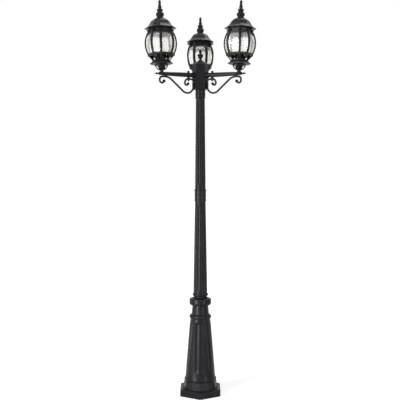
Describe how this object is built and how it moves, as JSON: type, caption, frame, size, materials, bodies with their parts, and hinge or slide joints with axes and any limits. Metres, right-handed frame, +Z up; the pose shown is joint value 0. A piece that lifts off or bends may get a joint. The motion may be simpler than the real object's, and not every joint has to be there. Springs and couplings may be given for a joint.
{
  "type": "triple head lamp post",
  "caption": "Tall fluted black lamp post on a hexagonal base, with lanterns on scrolled arms, clear panes, and bell-shaped hoods that lift off.",
  "frame": {"origin": "on the post's axis at the ground, the centre of the anchor hole circle", "axes": "+Z up along the post, +Y towards the rear lantern"},
  "size_m": [0.6268, 0.5598, 2.2454],
  "materials": {
    "black_coat": "satin black powder coat on cast aluminium",
    "clear_glass": "clear bent glass",
    "bulb_glass": "clear bulb glass",
    "bulb_cap": "plain brass shell",
    "holder_plastic": "ceramic-coloured lamp holder",
    "screw_steel": "plain steel screws"
  },
  "bodies": {
    "post": {"base_plate": "black_coat", "column_screws": "screw_steel", "base_column": "black_coat", "base_collar": "black_coat", "lower_shaft": "black_coat", "shaft_coupling": "black_coat", "upper_shaft": "black_coat", "hub_fitter": "black_coat", "fitter_screws": "screw_steel", "hub_body": "black_coat", "hub_cap": "black_coat", "hub_finial": "black_coat", "arm_bolts": "black_coat", "scroll_screws": "black_coat", "arm_rear": "black_coat", "arm_tip_rear": "black_coat", "long_scroll_rear": "black_coat", "short_scroll_rear": "black_coat", "stem_rear": "black_coat", "saucer_rear": "black_coat", "socket_cup_rear": "black_coat", "lamp_holder_rear": "holder_plastic", "cage_rear": "black_coat", "panes_rear": "clear_glass", "hood_strap_rear": "black_coat", "arm_left": "black_coat", "arm_tip_left": "black_coat", "long_scroll_left": "black_coat", "short_scroll_left": "black_coat", "stem_left": "black_coat", "saucer_left": "black_coat", "socket_cup_left": "black_coat", "lamp_holder_left": "holder_plastic", "cage_left": "black_coat", "panes_left": "clear_glass", "hood_strap_left": "black_coat", "arm_right": "black_coat", "arm_tip_right": "black_coat", "long_scroll_right": "black_coat", "short_scroll_right": "black_coat", "stem_right": "black_coat", "saucer_right": "black_coat", "socket_cup_right": "black_coat", "lamp_holder_right": "holder_plastic", "cage_right": "black_coat", "panes_right": "clear_glass", "hood_strap_right": "black_coat"},
    "hood_rear": {"hood_rear": "black_coat"},
    "finial_rear": {"finial_rear": "black_coat"},
    "bulb_rear": {"bulb_base_rear": "bulb_cap", "bulb_glass_rear": "bulb_glass"},
    "hood_left": {"hood_left": "black_coat"},
    "finial_left": {"finial_left": "black_coat"},
    "bulb_left": {"bulb_base_left": "bulb_cap", "bulb_glass_left": "bulb_glass"},
    "hood_right": {"hood_right": "black_coat"},
    "finial_right": {"finial_right": "black_coat"},
    "bulb_right": {"bulb_base_right": "bulb_cap", "bulb_glass_right": "bulb_glass"}
  },
  "joints": [
    {"name": "hood_lift_rear", "type": "slide", "parent": "post", "child": "hood_rear", "axis": [0, 0.0349, 0.9994], "range_m": [0, 0.25]},
    {"name": "finial_turn_rear", "type": "hinge", "parent": "hood_rear", "child": "finial_rear", "pos_m": [0, 0.26102, 2.15008], "axis": [0, 0.0349, 0.9994], "continuous": true},
    {"name": "bulb_turn_rear", "type": "hinge", "parent": "post", "child": "bulb_rear", "pos_m": [0, 0.25299, 1.92022], "axis": [0, 0.0349, 0.9994], "continuous": true},
    {"name": "hood_lift_left", "type": "slide", "parent": "post", "child": "hood_left", "axis": [-0.0302, -0.0174, 0.9994], "range_m": [0, 0.25]},
    {"name": "finial_turn_left", "type": "hinge", "parent": "hood_left", "child": "finial_left", "pos_m": [-0.22605, -0.13051, 2.15008], "axis": [-0.0302, -0.0174, 0.9994], "continuous": true},
    {"name": "bulb_turn_left", "type": "hinge", "parent": "post", "child": "bulb_left", "pos_m": [-0.21909, -0.12649, 1.92022], "axis": [-0.0302, -0.0174, 0.9994], "continuous": true},
    {"name": "hood_lift_right", "type": "slide", "parent": "post", "child": "hood_right", "axis": [0.0302, -0.0174, 0.9994], "range_m": [0, 0.25]},
    {"name": "finial_turn_right", "type": "hinge", "parent": "hood_right", "child": "finial_right", "pos_m": [0.22605, -0.13051, 2.15008], "axis": [0.0302, -0.0174, 0.9994], "continuous": true},
    {"name": "bulb_turn_right", "type": "hinge", "parent": "post", "child": "bulb_right", "pos_m": [0.21909, -0.12649, 1.92022], "axis": [0.0302, -0.0174, 0.9994], "continuous": true}
  ]
}
